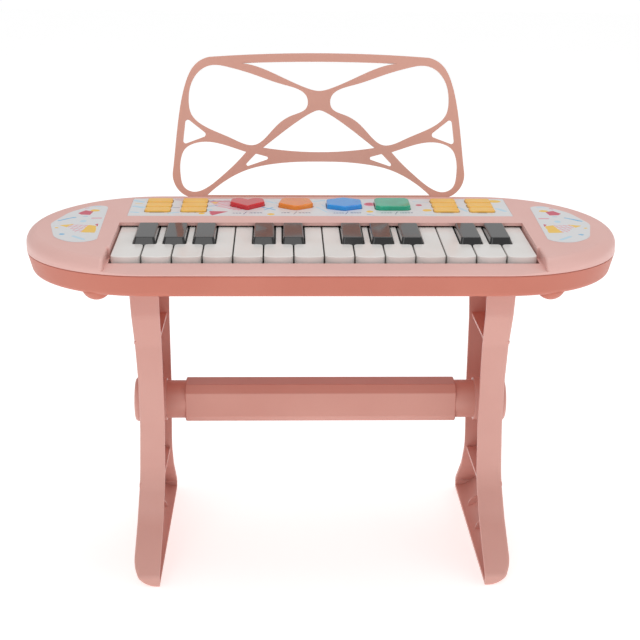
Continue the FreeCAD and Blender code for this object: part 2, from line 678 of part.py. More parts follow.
def rest_windows():
    lens_top = drawn_arc([(-64, 113.5), (0, 115), (64, 113.5)])
    dip = [(64, 113.5), (37, 105), (10, 92.8), (0, 90.5), (-10, 92.8), (-37, 105), (-64, 113.5)]
    windows = [Part.Wire([lens_top, spline_edge(drawn(dip))])]
    large = [(-86, 112), (-98, 107), (-104, 98.5), (-107, 81.5), (-105, 71), (-91, 59), (-73, 51), (-53, 45),
             (-37, 59), (-22, 70), (-10, 77), (-9.5, 84), (-30, 96), (-56, 105), (-76, 110.7)]
    windows += [smooth_wire(drawn(loop)) for loop in both_sides(large)]
    peak = [(46, 42.7), (32, 54), (17.5, 65), (6, 72.3), (0, 74.3), (-6, 72.3), (-17.5, 65), (-32, 54),
            (-46, 42.7)]
    sill = drawn_arc([(-46, 42.7), (0, 39), (46, 42.7)])
    windows.append(Part.Wire([spline_edge(drawn(peak)), sill]))
    windows += corner_wires([(-109.5, 68), (-112, 45), (-91, 53)], 2.2)
    windows += corner_wires([(-52, 37.6), (-39, 34), (-63, 25.6)], 1.3)
    drop = [(-60, 39), (-78, 45), (-91, 47.5), (-103, 46), (-110.6, 41), (-113.5, 34), (-114, 18.6),
            (-111, 9), (-104, 5.3), (-93, 8.4), (-81, 17.7), (-67.5, 30.5), (-60, 39)]
    windows += [Part.Wire([spline_edge(drawn(loop))]) for loop in both_sides(drop)]
    arch = [(92, 2.5), (78, 14), (59, 24), (37, 29), (20, 30.6), (0, 31), (-20, 30.6), (-37, 29), (-59, 24),
            (-78, 14), (-92, 2.5)]
    windows.append(Part.Wire([spline_edge(drawn(arch)), drawn_line([(-92, 2.5), (92, 2.5)])]))
    return windows


def music_rest():
    half = REST_SHEET / 2
    plate = slab(rest_outline(), -half, half)
    plate = plate.cut([slab(wire, -half - 1, half + 1) for wire in rest_windows()])
    tab = box(-REST_TAB_HALF, REST_TAB_HALF, -REST_TAB, 1.0, -half, half)
    return on_rest(plate.fuse(tab).removeSplitter())


# ---- stand ----
def leg_side_face(inset):
    """Side view of the leg in (Y, Z), drawn in by the inset all round."""
    outline = [
        (-LEG_HALF_TOP, LEG_TOP_Z, 0), (-LEG_HALF_TOP + 1, 202, 16), (-41, 176, 16),
        (-LEG_HALF_WAIST, 112, 150), (-LEG_HALF_WAIST, 65, 30), (-58, 40, 50),
        (-LEG_HALF_FOOT + 6, 14, 9), (-LEG_HALF_FOOT, 9, 4), (-LEG_HALF_FOOT, 0, 0)]
    other = [(-y, z, radius) for y, z, radius in reversed(outline)]
    face = Part.Face(rounded_wire(outline + other))
    return face.makeOffset2D(-inset) if inset else face


def leg_front_face(inset, open_by):
    """Front view of the right leg in (X, Z); the inner side stays open when it is drawn in."""
    top_in = LEG_INNER + 1.4 - open_by
    foot_in = LEG_INNER + 2.0 - open_by
    top_out = LEG_INNER + 1.4 + LEG_TOP_THICK - inset
    foot_out = LEG_INNER + 2.0 + LEG_FOOT_THICK - inset
    waist_out = LEG_INNER + LEG_WAIST - inset
    outline = [
        (foot_in, inset, 0), (foot_out, inset, LEG_CORNER - inset), (waist_out, BAR_Z - 10, 260),
        (waist_out + 0.3, BAR_Z + 30, 200), (top_out, LEG_TOP_Z - inset, 0), (top_in, LEG_TOP_Z - inset, 0),
        (LEG_INNER - open_by, BAR_Z, 260)]
    return Part.Face(rounded_wire(outline))


def raise_x(face, x0, x1):
    return lying_along_x(face.extrude(V(0, 0, x1 - x0)), x0)


def raise_y(face, y0, y1):
    return lying_along_y(face.extrude(V(0, 0, y1 - y0)), y1)


def leg():
    side = raise_x(leg_side_face(0), LEG_INNER - 20, LEG_INNER + 60)
    front = raise_y(leg_front_face(0, 0), -FAR, FAR)
    outer = side.common(front)
    outer_side = [edge for edge in outer.Edges if edge.BoundBox.XMin > LEG_INNER + 6]
    level_top = [edge for edge in outer_side
                 if abs(edge.BoundBox.ZMax - LEG_TOP_Z) < 1e-3 and edge.BoundBox.ZLength < 5]
    rim = [edge for edge in outer_side if not any(edge.isSame(other) for other in level_top)]
    outer = outer.makeFillet(LEG_EDGE, rim)
    inner_side = raise_x(leg_side_face(LEG_WALL), LEG_INNER - 20, LEG_INNER + 60)
    hollow = inner_side.common(raise_y(leg_front_face(LEG_WALL, 10), -FAR, FAR))
    shell = outer.cut(hollow)

    gusset = Part.Face(rounded_wire([
        (LEG_INNER + 7, 1, 0), (LEG_INNER + 7, GUSSET_HEIGHT, 9), (LEG_INNER + 60, GUSSET_HEIGHT, 0),
        (LEG_INNER + 60, 1, 0)]))
    ribs = [raise_y(gusset, y - RIB / 2, y + RIB / 2) for y in GUSSET_Y]
    middle = box(LEG_INNER + 2.6, LEG_INNER + 40, -FAR, FAR, 60, 60 + RIB)
    upper = box(LEG_INNER + 2.6, LEG_INNER + 40, -FAR, FAR, 178, 178 + RIB)
    ribs += [middle, upper]
    hull = side.common(front)
    socket = rod(NECK_R + 0.15 + SOCKET_WALL, (LEG_INNER + 0.8, BAR_Y, BAR_Z), LEG_WAIST - 1.3, X_AXIS)
    boss = rod(BOSS_R, (LEG_INNER + LEG_WAIST - 2, BAR_Y, BAR_Z), 2 + BOSS_PROUD, X_AXIS)
    boss_face = LEG_INNER + LEG_WAIST + BOSS_PROUD
    boss = boss.makeFillet(2.6, edges_where(boss, lambda p: p.x > boss_face - 0.01))
    x0 = TENON_INNER
    tenon = box(x0, x0 + TENON_THICK, -TENON_HALF, TENON_HALF, LEG_TOP_Z - 1, CASE_BOTTOM_Z + TENON_HEIGHT)
    shell = shell.fuse([rib.common(hull) for rib in ribs] + [socket, boss, tenon])
    outer_wall = LEG_INNER + LEG_WAIST
    bore = rod(NECK_R + 0.15, (LEG_INNER - 5, BAR_Y, BAR_Z), outer_wall - LEG_WALL - LEG_INNER + 5, X_AXIS)
    head = rod(4.2, (outer_wall - 0.4, BAR_Y, BAR_Z), 20, X_AXIS)
    shank = rod(1.8, (outer_wall - 10, BAR_Y, BAR_Z), 20, X_AXIS)
    return shell.cut([bore, head, shank]).removeSplitter()


def bar_form(half, half_flat, half_length, neck_radius, end, soften):
    """The crossbar's outer or inner form: an eight-sided body with a round neck each side."""
    outline = [
        (half_flat, -half), (half, -half_flat), (half, half_flat), (half_flat, half),
        (-half_flat, half), (-half, half_flat), (-half, -half_flat), (-half_flat, -half)]
    face = Part.Face(rounded_wire([(y, z, 1.5) for y, z in outline]))
    body = raise_x(face, -half_length, half_length)
    if soften:
        ends = edges_where(body, lambda p: abs(abs(p.x) - half_length) < 1e-6)
        body = body.makeFillet(soften, ends)
    neck = rod(neck_radius, (-end, 0, 0), 2 * end, X_AXIS)
    return body.fuse(neck).removeSplitter().translated(V(0, BAR_Y, BAR_Z))


def crossbar_half(upper):
    outer = bar_form(BAR_HALF, BAR_FLAT, BAR_HALF_LENGTH, NECK_R, BAR_END, 1.2)
    inner = bar_form(BAR_HALF - BAR_WALL, BAR_FLAT - 1.0, BAR_HALF_LENGTH - BAR_WALL,
                     NECK_R - BAR_WALL, BAR_END - BAR_WALL, 0)
    shell = outer.cut(inner)
    posts = [rod(5.0, (x, BAR_Y, BAR_Z - BAR_HALF + 1), 2 * BAR_HALF - 2) for x in BAR_SCREWS]
    posts += [rod(4.0, (side * (BAR_END - 7.5) - 6.5, BAR_Y, BAR_Z), 13, X_AXIS) for side in (-1, 1)]
    core = bar_form(BAR_HALF - 1, BAR_FLAT, BAR_HALF_LENGTH, NECK_R - 1, BAR_END, 0)
    ribs = [core.common(box(x - 0.9, x + 0.9, -FAR, FAR, 0, FAR)) for x in (-100.0, -40.0, 40.0, 100.0)]
    shell = shell.fuse(posts + ribs)
    cuts = []
    for x in BAR_SCREWS:
        cuts.append(rod(WELL_R, (x, BAR_Y, BAR_Z - BAR_HALF - 1), BAR_HALF - 5))
        cuts.append(rod(SCREW_R + FIT, (x, BAR_Y, BAR_Z - BAR_HALF), BAR_HALF + 9))
    cuts.append(rod(SCREW_R + FIT, (-BAR_END - 1, BAR_Y, BAR_Z), 14, X_AXIS))
    cuts.append(rod(SCREW_R + FIT, (BAR_END - 13, BAR_Y, BAR_Z), 14, X_AXIS))
    low, high = (BAR_Z, BAR_Z + FAR) if upper else (BAR_Z - FAR, BAR_Z)
    return shell.cut(cuts).common(box(-FAR, FAR, -FAR, FAR, low, high)).removeSplitter()


# ---- screws ----
def screw(seat, shank_length):
    """Pan-head screw standing on its head: the head's upper face is at the seat height."""
    head = rod(SCREW_HEAD_R, (0, 0, seat - SCREW_HEAD), SCREW_HEAD)
    head = head.makeFillet(0.7, edges_where(head, lambda p: abs(p.z - seat + SCREW_HEAD) < 1e-6))
    slot_long = box(-1.7, 1.7, -0.35, 0.35, seat - SCREW_HEAD - 1, seat - SCREW_HEAD + 0.9)
    slot_cross = box(-0.35, 0.35, -1.7, 1.7, seat - SCREW_HEAD - 1, seat - SCREW_HEAD + 0.9)
    return head.fuse(rod(SCREW_R, (0, 0, seat - 0.5), shank_length + 0.5)).cut([slot_long, slot_cross])


def case_screws():
    screws = [moved(screw(LEDGE_Z, SEAM_Z - LEDGE_Z), x, y) for x, y in SCREW_PLACES]
    screws.append(moved(screw(CASE_BOTTOM_Z + COVER_SHEET - 0.6, 5.5), 0, COVER_SCREW_Y))
    for x, s in PANEL_POSTS:
        small = rod(2.0, (x, s, PANEL_BOARD_TOP - BOARD_SHEET - 1.2), 1.2)
        screws.append(on_deck(small.fuse(rod(1.0 - FIT, (x, s, PANEL_BOARD_TOP - BOARD_SHEET - 0.2), 5.5))))
    return screws


def crossbar_screws():
    screws = [moved(screw(BAR_Z - 6, 14), x, BAR_Y) for x in BAR_SCREWS]
    for side in (-1, 1):
        piece = screw(0, 12.5)
        piece.rotate(V(0, 0, 0), Y_AXIS, -90 * side)
        seat = LEG_INNER + LEG_WAIST - 0.4
        screws.append(piece.translated(V(side * seat, BAR_Y, BAR_Z)))
    return screws


# ---- power, sound, boards ----
def batteries():
    cells = []
    for row, y in enumerate(CELL_ROWS):
        direction = 1 if row == 0 else -1
        for place in (-1, 1):
            centre = place * CELL_LENGTH / 2
            start = centre - direction * CELL_LENGTH / 2
            axis = V(direction, 0, 0)
            z = CASE_BOTTOM_Z + COVER_SHEET + 0.4 + CELL_R
            can = rod(CELL_R, (start, y, z), CELL_LENGTH - 1.0, axis)
            nub = rod(2.7, (start + direction * (CELL_LENGTH - 1.2), y, z), 1.2, axis)
            cells.append(can.fuse(nub))
    return cells


def battery_contacts():
    contacts = []
    z = CASE_BOTTOM_Z + COVER_SHEET + 0.4 + CELL_R
    wall = bay_box(0)[1]
    for side in (-1, 1):
        for y in CELL_ROWS:
            x0, x1 = sorted((side * wall, side * (wall - 0.4)))
            plate = box(x0, x1, y - 5, y + 5, z - 5, z + 5.5)
            reach = wall - CELL_LENGTH
            dimple = rod(2.5, (side * wall, y, z), reach, V(-side, 0, 0))
            contacts.append(plate.fuse(dimple).removeSplitter())
    return contacts


def battery_cover():
    edge = SLIDE_FIT / 2
    x0, x1, y0, y1 = bay_box(2.0 - edge)
    plate = slab(block(x0, x1, y0, y1, 0.8), CASE_BOTTOM_Z, CASE_BOTTOM_Z + COVER_SHEET)
    ear = rod(5.0 - edge, (0, bay_box(2.0)[2], CASE_BOTTOM_Z), COVER_SHEET)
    ridges = [slab(block(-9, 9, y - 0.6, y + 0.6, 0.55), CASE_BOTTOM_Z - 0.5, CASE_BOTTOM_Z + 0.5)
              for y in (y1 - 4, y1 - 7, y1 - 10)]
    cover = plate.fuse([ear] + ridges)
    hole = rod(SCREW_R + 0.3, (0, COVER_SCREW_Y, CASE_BOTTOM_Z - 1), 5)
    sink = rod(SCREW_HEAD_R + 0.2, (0, COVER_SCREW_Y, CASE_BOTTOM_Z - 1), COVER_SHEET + 1 - 0.6)
    return cover.cut([hole, sink]).removeSplitter()


def speaker():
    seat = CASE_BOTTOM_Z + WALL
    profile = Part.makePolygon([
        V(0, 0, 4), V(8, 0, 2.6), V(20, 0, 0.9), V(22.5, 0, 0.9), V(22.5, 0, 0), V(SPEAKER_R, 0, 0),
        V(SPEAKER_R, 0, 1.6), V(23, 0, 1.8), V(14.5, 0, 6.5), V(14.5, 0, SPEAKER_HEIGHT),
        V(0, 0, SPEAKER_HEIGHT), V(0, 0, 4)])
    turned = Part.Face(profile).revolve(V(0, 0, 0), Z_AXIS, 360)
    return turned.translated(V(SPEAKER_X, 0, seat))


def key_board():
    s0, s1 = KEY_BOARD_S
    sheet = box(-BOARD_HALF, BOARD_HALF, s0, s1, KEY_BOARD_TOP - BOARD_SHEET, KEY_BOARD_TOP)
    return on_deck(sheet)


def panel_board():
    s0, s1 = PANEL_BOARD_S
    low = PANEL_BOARD_TOP - BOARD_SHEET
    sheet = box(-BOARD_HALF, BOARD_HALF, s0, s1, low, PANEL_BOARD_TOP)
    chip = box(-8, 8, 46, 58, low - 1.8, low)
    holes = [rod(1.0 + FIT, (x, s, low - 1), 4) for x, s in PANEL_POSTS]
    return on_deck(sheet.fuse(chip).cut(holes).removeSplitter())


def contact_mats():
    base = KEY_BOARD_TOP + MAT_SHEET
    top = PLUNGER_END - DOME_GAP
    mats = []
    whites = [(number - (WHITE_COUNT + 1) / 2) * KEY_PITCH for number in range(1, WHITE_COUNT + 1)]
    blacks = [(after - WHITE_COUNT / 2) * KEY_PITCH for after in BLACK_AFTER]
    half = BOARD_HALF - 1
    for row, s in ((whites, WHITE_PLUNGER_S), (blacks, BLACK_PLUNGER_S)):
        sheet = box(-half, half, s - 6, s + 6, KEY_BOARD_TOP, base)
        mats.append(sheet.fuse([dome(x, s, base, top, 4.5) for x in row]))
    base = PANEL_BOARD_TOP + MAT_SHEET
    top = STEM_END - DOME_GAP
    places = [(x, PAD_S) for name, outline, x in PADS] + [(x, s) for name, x, s in BUTTONS]
    sheet = box(-143.5, 143.5, 38, PANEL_BOARD_S[1] - 0.5, PANEL_BOARD_TOP, base)
    sheet = sheet.cut([rod(3.2, (x, s, PANEL_BOARD_TOP - 1), 5) for x, s in PANEL_POSTS])
    mats.append(sheet.fuse([dome(x, s, base, top, 3.6) for x, s in places]))
    return [on_deck(mat) for mat in mats]


def dome(x, s, base, top, radius):
    return Part.makeCone(radius, radius * 0.62, top - base, V(x, s, base))


def wiring():
    ribbon_high = PANEL_BOARD_TOP - BOARD_SHEET
    low = KEY_BOARD_TOP
    turn = 38.0
    ribbon_path = rounded_wire([
        (5, low, 0), (turn, low, 3.0), (turn, ribbon_high, 0), (turn - 0.6, ribbon_high, 0),
        (turn - 0.6, low + 0.6, 2.4), (5, low + 0.6, 0)])
    ribbon = on_deck(lying_along_x(slab(ribbon_path, 0, 14), 60))
    leads = []
    level = CASE_BOTTOM_Z + WALL
    runs = rounded_wire([
        (SPEAKER_X + 14.5, 0.0, 0), (SPEAKER_X + 26, 0.0, 6), (SPEAKER_X + 36, 40, 8), (-140, 40, 0),
        (-140, 41.4, 0), (SPEAKER_X + 35, 41.4, 9), (SPEAKER_X + 24.6, 1.4, 5), (SPEAKER_X + 14.5, 1.4, 0)])
    leads.append(slab(runs, level + 9.0, level + 10.4))
    return [ribbon] + leads


def key_rod():
    return on_deck(rod_line(ROD_R, -WELL_HALF - 2 * RIB + 0.6, WELL_HALF + 2 * RIB - 0.6))


# ---- build ----
for number in range(1, WHITE_COUNT + 1):
    export("white_key_%02d" % number, white_key(number))
for number in range(1, len(BLACK_AFTER) + 1):
    export("black_key_%02d" % number, black_key(number))
for name, outline, x in PADS:
    export(name, pad(outline, x))
for name, x, s in BUTTONS:
    export(name, button(x, s))
export("upper_shell", upper_shell())
export("lower_shell", lower_shell())
export("graphic_panel", graphic_panel())
export_group("pod_stickers", [pod_sticker(-1), pod_sticker(1)])
export("music_rest", music_rest())
export("battery_cover", battery_cover())
export_group("batteries", batteries())
export_group("battery_contacts", battery_contacts())
export("speaker", speaker())
export("key_board", key_board())
export("panel_board", panel_board())
export_group("contact_mats", contact_mats())
export_group("wiring", wiring())
export("key_rod", key_rod())
right_leg = leg()
export("leg_right", right_leg)
export("leg_left", mirrored(right_leg))
export("crossbar_upper", crossbar_half(True))
export("crossbar_lower", crossbar_half(False))
export_group("case_screws", case_screws())
export_group("crossbar_screws", crossbar_screws())
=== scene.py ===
import bpy
import bmesh
import math
from mathutils import Matrix, Vector


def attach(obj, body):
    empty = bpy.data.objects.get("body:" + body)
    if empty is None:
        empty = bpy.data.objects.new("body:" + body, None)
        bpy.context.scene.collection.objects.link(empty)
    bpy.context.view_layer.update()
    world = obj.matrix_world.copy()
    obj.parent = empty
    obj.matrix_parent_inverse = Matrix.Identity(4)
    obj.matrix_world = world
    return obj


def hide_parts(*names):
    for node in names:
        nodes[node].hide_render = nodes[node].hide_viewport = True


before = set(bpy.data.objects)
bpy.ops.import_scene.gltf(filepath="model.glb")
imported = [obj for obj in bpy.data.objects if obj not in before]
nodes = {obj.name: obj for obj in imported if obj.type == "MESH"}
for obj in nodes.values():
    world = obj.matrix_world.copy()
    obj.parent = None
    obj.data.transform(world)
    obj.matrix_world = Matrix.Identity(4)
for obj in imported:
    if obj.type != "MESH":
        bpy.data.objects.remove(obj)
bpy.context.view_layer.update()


# ---- Case shells ----
# Two injection-moulded ABS shells, screwed together from below: a pink deck and a tray of
# the same plastic under it. The deck's colour is painted pale, as the light and white
# reflection on its top, and the tray's is painted darker and redder, as the shade under it.
# The tool leaves a fine satin grain and a faint drift of colour.
class Wire:
    """One socket of the material being drawn; arithmetic on wires adds Math nodes."""
    tree = None

    def __init__(self, socket):
        self.socket = socket

    @classmethod
    def node(cls, kind, settings=None, inputs=None):
        made = cls.tree.nodes.new(kind)
        for name, value in (settings or {}).items():
            if name == "stops":
                ramp = made.color_ramp
                while len(ramp.elements) < len(value):
                    ramp.elements.new(1.0)
                for element, (at, colour) in zip(ramp.elements, value):
                    element.position = at
                    element.color = colour
            else:
                setattr(made, name, value)
        for key, value in (inputs or {}).items():
            if isinstance(value, cls):
                cls.tree.links.new(value.socket, made.inputs[key])
            else:
                made.inputs[key].default_value = value
        return made

    def maths(self, operation, *others, clamp=False):
        settings = {"operation": operation, "use_clamp": clamp}
        return Wire(Wire.node("ShaderNodeMath", settings, dict(enumerate((self, *others)))).outputs[0])

    def __add__(self, other):
        return self.maths("ADD", other)

    def __sub__(self, other):
        return self.maths("SUBTRACT", other)

    def __rsub__(self, other):
        made = Wire.node("ShaderNodeMath", {"operation": "SUBTRACT"}, {0: other, 1: self})
        return Wire(made.outputs[0])

    def __mul__(self, other):
        return self.maths("MULTIPLY", other)

    def __truediv__(self, other):
        return self.maths("DIVIDE", other)

    def __abs__(self):
        return self.maths("ABSOLUTE")

    __radd__ = __add__
    __rmul__ = __mul__

    def sine(self):
        return self.maths("SINE")

    def root(self):
        return self.maths("SQRT")

    def at_least(self, other):
        return self.maths("MAXIMUM", other)

    def held(self):
        return self.maths("MULTIPLY", 1.0, clamp=True)

    def step(self, low, high):
        """0 below low, 1 above high, smooth between."""
        made = Wire.node("ShaderNodeMapRange", {"interpolation_type": "SMOOTHSTEP"},
                         {"Value": self, "From Min": low, "From Max": high})
        return Wire(made.outputs["Result"])


def paint(red, green, blue):
    """A colour as a chart gives it, 0 to 255, in the linear values of the shader."""
    def linear(value):
        value /= 255
        return value / 12.92 if value <= 0.04045 else ((value + 0.055) / 1.055) ** 2.4
    return (linear(red), linear(green), linear(blue), 1.0)


def place():
    return Wire(Wire.node("ShaderNodeTexCoord").outputs["Object"])


def axes_of(vector):
    parts = Wire.node("ShaderNodeSeparateXYZ", {}, {0: vector})
    return [Wire(parts.outputs[index]) for index in range(3)]


def noise(scale, detail=2.0, roughness=0.5, at=None, distortion=0.0):
    made = Wire.node("ShaderNodeTexNoise", {}, {
        "Vector": at or place(), "Scale": scale, "Detail": detail, "Roughness": roughness,
        "Distortion": distortion})
    return Wire(made.outputs["Fac"])


def mixed(first, second, share):
    made = Wire.node("ShaderNodeMix", {"data_type": "RGBA"}, {0: share, 6: first, 7: second})
    return Wire(made.outputs[2])


def begin(name):
    material = bpy.data.materials.new(name)
    material.use_nodes = True
    material.node_tree.nodes.clear()
    Wire.tree = material.node_tree
    return material


def surface(material, colour, roughness, height=None, depth=0.0, **fixed):
    """Ends a material: one Principled surface, with its relief in metres."""
    shader = Wire.node("ShaderNodeBsdfPrincipled", {}, {"Base Color": colour, "Roughness": roughness})
    for name, value in fixed.items():
        shader.inputs[name.replace("_", " ")].default_value = value
    if height is not None:
        bump = Wire.node("ShaderNodeBump", {}, {"Height": height, "Strength": 1.0, "Distance": depth})
        Wire.tree.links.new(bump.outputs["Normal"], shader.inputs["Normal"])
    out = Wire.node("ShaderNodeOutputMaterial")
    Wire.tree.links.new(shader.outputs[0], out.inputs["Surface"])
    return material


def moulded(name, light, deep, roughness, grain=0.000012, **fixed):
    """Satin moulded plastic: drifting colour, a fine spark-eroded grain, faint sink waves."""
    material = begin(name)
    drift = noise(14.0, 3.0).step(0.3, 0.7)
    fine = noise(2600.0, 2.0, 0.6)
    waves = noise(22.0, 1.0)
    fleck = noise(420.0, 3.0, 0.7).step(0.35, 0.75)
    colour = mixed(mixed(light, deep, drift), deep, fleck * 0.22)
    gloss = roughness + (noise(60.0, 2.0) - 0.5) * 0.10 + (fine - 0.5) * 0.06
    height = fine + waves * 8.0
    return surface(material, colour, gloss, height, grain, **fixed)


def dress(node, *materials):
    """Puts materials on a CAD node, one for each of its slots."""
    mesh = nodes[node].data
    mesh.materials.clear()
    for material in materials:
        mesh.materials.append(material)


# The deck's colour is painted paler than the plastic, as light and white reflection on its top.
deck_pink_painted_light = moulded("deck_pink_painted_light", paint(233, 187, 179), paint(229, 181, 173), 0.42)
# The tray and battery cover are the deck's plastic, painted darker and redder as shade.
tray_pink_painted_shade = moulded("tray_pink_painted_shade", paint(202, 120, 101), paint(197, 114, 95), 0.45)
dress("upper_shell", deck_pink_painted_light)
dress("lower_shell", tray_pink_painted_shade)
dress("battery_cover", tray_pink_painted_shade)


# ---- Printed control panel ----
# A satin polyester sheet glued into its recess round the pads, printed with loose shapes
# in pink, blue and yellow and a pair of small grey strokes under each pad.
CASE_Y = -8.199               # the case's middle, behind the origin by this
DECK_SLOPE = math.radians(2.75)


def deck_places():
    """Millimetres across the deck and rearward along it."""
    across, along, _ = axes_of(place())
    return across * 1000, (along * 1000 - CASE_Y) / math.cos(DECK_SLOPE)


def inked(distance, soft=0.12):
    """1 inside an outline, from a distance in millimetres that is negative there."""
    return (0.5 - distance / soft).held()


def disc(x, s, centre, radius, squash=1.0):
    dx = x - centre[0]
    ds = (s - centre[1]) / squash
    return inked((dx * dx + ds * ds).root() - radius)


def stroke(x, s, start, end, width):
    dx, ds = x - start[0], s - start[1]
    run = (end[0] - start[0], end[1] - start[1])
    length = run[0] ** 2 + run[1] ** 2
    share = ((dx * run[0] + ds * run[1]) / length).held()
    dx, ds = dx - share * run[0], ds - share * run[1]
    return inked((dx * dx + ds * ds).root() - width / 2)


def patch(x, s, corners):
    """A straight-sided patch; its corners run anticlockwise."""
    distance = None
    for index, (x0, s0) in enumerate(corners):
        x1, s1 = corners[(index + 1) % len(corners)]
        length = math.hypot(x1 - x0, s1 - s0)
        side = (x - x0) * ((s1 - s0) / length) - (s - s0) * ((x1 - x0) / length)
        distance = side if distance is None else distance.at_least(side)
    return inked(distance)


def stripes(x, s, direction, pitch, share):
    across = x * (math.cos(direction) / pitch) + s * (math.sin(direction) / pitch)
    return inked(abs(across.maths("FRACT") - 0.5) * pitch - pitch * share / 2)


film_white = paint(224, 225, 227)
crimson = paint(208, 66, 96)
rose = paint(232, 120, 146)
sky = paint(120, 186, 224)
pale_sky = paint(188, 219, 236)
sun = paint(246, 198, 66)
slate = paint(96, 108, 138)
grey_blue = paint(140, 150, 172)


def printed(name, prints):
    """The sheet's print: (colour, ink) pairs laid one over the other."""
    colour = None
    for ink_colour, ink in prints:
        colour = mixed(film_white if colour is None else colour, ink_colour, ink)
    return colour


def film(material, colour):
    weave = noise(900.0, 2.0)
    gloss = 0.36 + (noise(80.0) - 0.5) * 0.08
    return surface(material, colour, gloss, weave, 0.000008, Coat_Weight=0.25, Coat_Roughness=0.2)


panel_print = begin("panel_print")
x, s = deck_places()
wobble = (noise(140.0, 2.0) - 0.5) * 2.2
wx, ws = x + wobble, s + wobble
banner = patch(x, s, [(-92, 75.5), (-84, 57), (-66, 45), (-62, 50), (-70, 76)])
zig = ((x * 0.9 + s * 0.5) * 0.55).sine() * 1.4
ribs = stripes(x, s + zig, math.radians(78), 3.4, 0.42)
label_strokes = [
    ((-70.6, 36.8), (-64.2, 36.8), 1.7), ((-56.8, 37.6), (-47.6, 37.9), 2.0),
    ((-30.8, 38.2), (-25.4, 38.2), 1.9), ((-17.4, 38.0), (-8.6, 38.2), 2.0),
    ((11.2, 37.6), (18.6, 37.6), 1.8), ((24.6, 38.3), (31.8, 38.3), 2.2),
    ((49.2, 38.3), (57.6, 38.5), 1.5), ((65.2, 38.5), (73.8, 38.6), 2.0),
    ((-61.9, 34.0), (-59.5, 41.0), 0.9), ((-21.6, 34.2), (-19.2, 41.8), 0.9),
    ((20.0, 34.2), (22.4, 42.0), 0.9), ((60.3, 34.4), (62.5, 42.2), 0.9)]
label_ink = None
for start, end, width in label_strokes:
    ink = stroke(x, s, start, end, width)
    label_ink = ink if label_ink is None else label_ink.at_least(ink)
label_gaps = stripes(x, s + zig * 0.5, 0.35, 2.3, 0.36)
mark_ink = stroke(x, s, (-137.0, 38.6), (-126.5, 38.8), 2.0)
for start, end, width in [
        ((-106.5, 38.5), (-104.0, 41.0), 1.4), ((-101.0, 38.6), (-98.5, 41.2), 1.4),
        ((98.0, 38.4), (107.0, 38.0), 1.7), ((128.0, 38.4), (134.0, 38.2), 2.2),
        ((-119.6, 54.0), (-115.0, 54.4), 1.6)]:
    mark_ink = mark_ink.at_least(stroke(x, s, start, end, width))
panel_colour = printed("panel", [
    (rose, banner * ribs),
    (crimson, patch(wx, ws, [(-92, 77), (-91, 72), (-74, 73), (-72, 77)]) * (ribs * 0.6 + 0.4)),
    (sun, patch(x, s, [(-89.5, 72.4), (-86.4, 66.8), (-83.0, 70.6)])),
    (sky, stroke(wx, ws, (-92.5, 73.5), (-87.5, 78.0), 1.3)),
    (sky, stroke(wx, ws, (-91.0, 58.5), (-84.0, 61.0), 1.6)),
    (pale_sky, disc(wx, ws, (-90.5, 46.5), 3.4)),
    (crimson, patch(x, s, [(-90.0, 36.5), (-86.8, 29.8), (-74.6, 42.0), (-89.6, 43.4)])),
    (film_white, disc(x, s, (-91.0, 37.2), 2.4)),
    (sky, stroke(wx, ws, (-46.8, 56.2), (-37.2, 47.2), 1.8)),
    (sky, stroke(wx, ws, (-45.6, 47.0), (-38.4, 55.4), 1.4)),
    (pale_sky, stroke(wx, ws, (-43.2, 75.4), (-36.4, 68.6), 2.4)),
    (sun, disc(wx, ws, (-39.9, 33.8), 2.9)),
    (pale_sky, stroke(wx, ws, (-4.2, 74.6), (4.2, 78.0), 2.6)),
    (pale_sky, stroke(wx, ws, (-2.6, 56.6), (5.4, 40.6), 1.5)),
    (pale_sky, stroke(wx, ws, (2.0, 64.0), (6.0, 52.0), 1.2)),
    (rose, disc(x, s, (41.4, 65.6), 4.9, 1.15)),
    (crimson, disc(x, s, (40.8, 66.4), 2.9, 1.2)),
    (sun, disc(wx, ws, (39.9, 42.2), 2.9)),
    (sky, stroke(wx, ws, (37.6, 33.4), (42.2, 30.6), 1.4)),
    (crimson, disc(x, s, (81.7, 63.2), 2.7)),
    (pale_sky, stroke(wx, ws, (78.0, 74.5), (90.0, 72.0), 1.6)),
    (sun, disc(wx, ws, (87.0, 46.6), 3.6)),
    (pale_sky, stroke(wx, ws, (84.0, 33.2), (92.0, 31.2), 1.4)),
    (pale_sky, stroke(wx, ws, (-152.0, 77.0), (-146.0, 72.0), 4.0)),
    (sun, stroke(wx, ws, (-151.5, 67.0), (-146.0, 67.6), 1.1)),
    (pale_sky, stroke(wx, ws, (-151.0, 58.0), (-144.5, 54.5), 4.6)),
    (pale_sky, stroke(wx, ws, (-152.0, 40.0), (-147.0, 38.6), 3.0)),
    (pale_sky, stroke(wx, ws, (-122.4, 36.6), (-114.6, 39.4), 3.0)),
    (crimson, stroke(wx, ws, (-119.5, 79.6), (-112.5, 78.8), 1.4)),
    (sun, disc(wx, ws, (-95.5, 36.0), 2.4)),
    (pale_sky, stroke(wx, ws, (112.0, 60.0), (119.0, 44.0), 2.4)),
    (sun, disc(wx, ws, (146.0, 76.0), 5.4, 0.8)),
    (pale_sky, stroke(wx, ws, (145.0, 52.0), (150.0, 44.0), 3.6)),
    (grey_blue, mark_ink * 0.85),
    (slate, label_ink * (1 - label_gaps * 0.75))])
film(panel_print, panel_colour)
dress("graphic_panel", panel_print)


